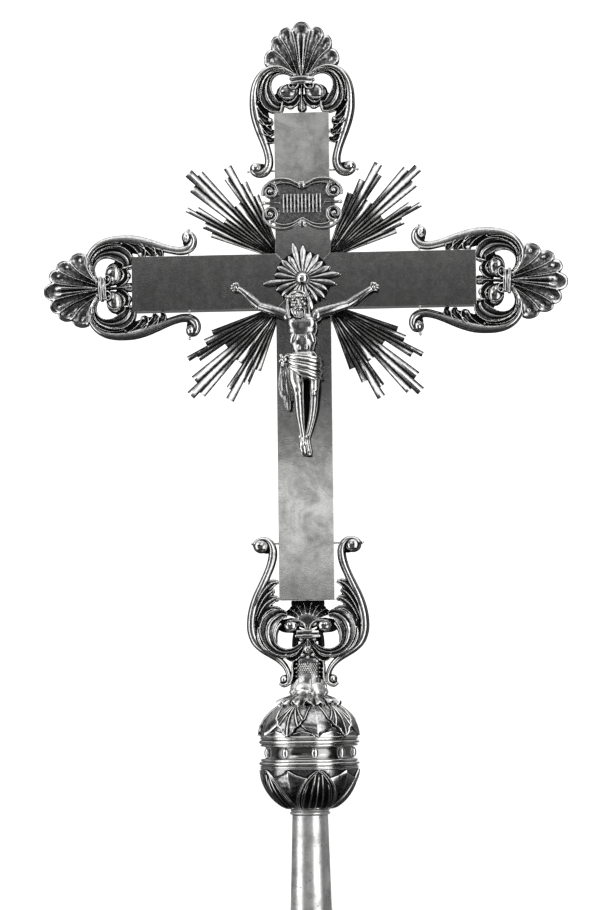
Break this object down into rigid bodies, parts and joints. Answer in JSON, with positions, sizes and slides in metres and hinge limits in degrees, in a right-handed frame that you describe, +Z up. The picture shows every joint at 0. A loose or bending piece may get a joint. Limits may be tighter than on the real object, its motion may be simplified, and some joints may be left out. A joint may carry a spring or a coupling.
{
  "type": "processional cross",
  "caption": "Processional cross head with cast scroll ends, ray fans, title board, nimbus and corpus, on a round knop with a socket for a staff.",
  "frame": {"origin": "centre of the staff socket's mouth", "axes": "+Z up along the socket and the upright, the figure faces -Y, +X to the right seen from the front"},
  "size_m": [0.4516, 0.0864, 0.7638],
  "materials": {
    "silver_sheet": "silver-plated sheet, hand polished, faintly mottled, dull in the corners",
    "silver_cast": "silver-plated casting, bright on the high parts with dark patina in the recesses",
    "silver_turned": "silver-plated, turned and polished",
    "silver_figure": "silver-plated casting, brightly polished, with light patina in the folds",
    "silver_fixings": "silver-plated, domed and polished by hand",
    "core_wood": "oiled walnut, sawn",
    "steel": "plain steel, lightly oxidised"
  },
  "bodies": {
    "root": {"back_sheet": "silver_sheet", "core_crossbar": "core_wood", "core_upright": "core_wood", "corpus": "silver_figure", "corpus_arm_left": "silver_figure", "corpus_arm_right": "silver_figure", "knop_calyx": "silver_cast", "knop_drum": "silver_turned", "knop_lower_bowl": "silver_cast", "knop_lower_ring": "silver_turned", "knop_upper_bowl": "silver_cast", "knop_upper_ring": "silver_turned", "left_clasp": "silver_cast", "left_curled_leaves": "silver_cast", "left_scroll_lower": "silver_cast", "left_scroll_upper": "silver_cast", "left_shell": "silver_cast", "left_through_pin": "silver_fixings", "lower_clasp": "silver_cast", "lower_curled_leaves": "silver_cast", "lower_foot": "silver_cast", "lower_scroll_left": "silver_cast", "lower_scroll_right": "silver_cast", "lower_shell": "silver_cast", "lower_through_pin": "silver_fixings", "nail_feet": "silver_fixings", "nail_left_hand": "silver_fixings", "nail_right_hand": "silver_fixings", "nimbus": "silver_cast", "nimbus_boss": "silver_fixings", "rays_lower_left": "silver_cast", "rays_lower_right": "silver_cast", "rays_upper_left": "silver_cast", "rays_upper_right": "silver_cast", "right_clasp": "silver_cast", "right_curled_leaves": "silver_cast", "right_scroll_lower": "silver_cast", "right_scroll_upper": "silver_cast", "right_shell": "silver_cast", "right_through_pin": "silver_fixings", "sheath_left": "silver_sheet", "sheath_lower": "silver_sheet", "sheath_right": "silver_sheet", "sheath_top": "silver_sheet", "socket_collar": "silver_turned", "staff_socket": "silver_turned", "tie_rod": "steel", "tie_rod_nut": "steel", "title_board": "silver_cast", "title_rivet_bottom": "silver_fixings", "title_rivet_top": "silver_fixings", "top_clasp": "silver_cast", "top_curled_leaves": "silver_cast", "top_scroll_left": "silver_cast", "top_scroll_right": "silver_cast", "top_shell": "silver_cast", "top_through_pin": "silver_fixings"}
  },
  "joints": []
}
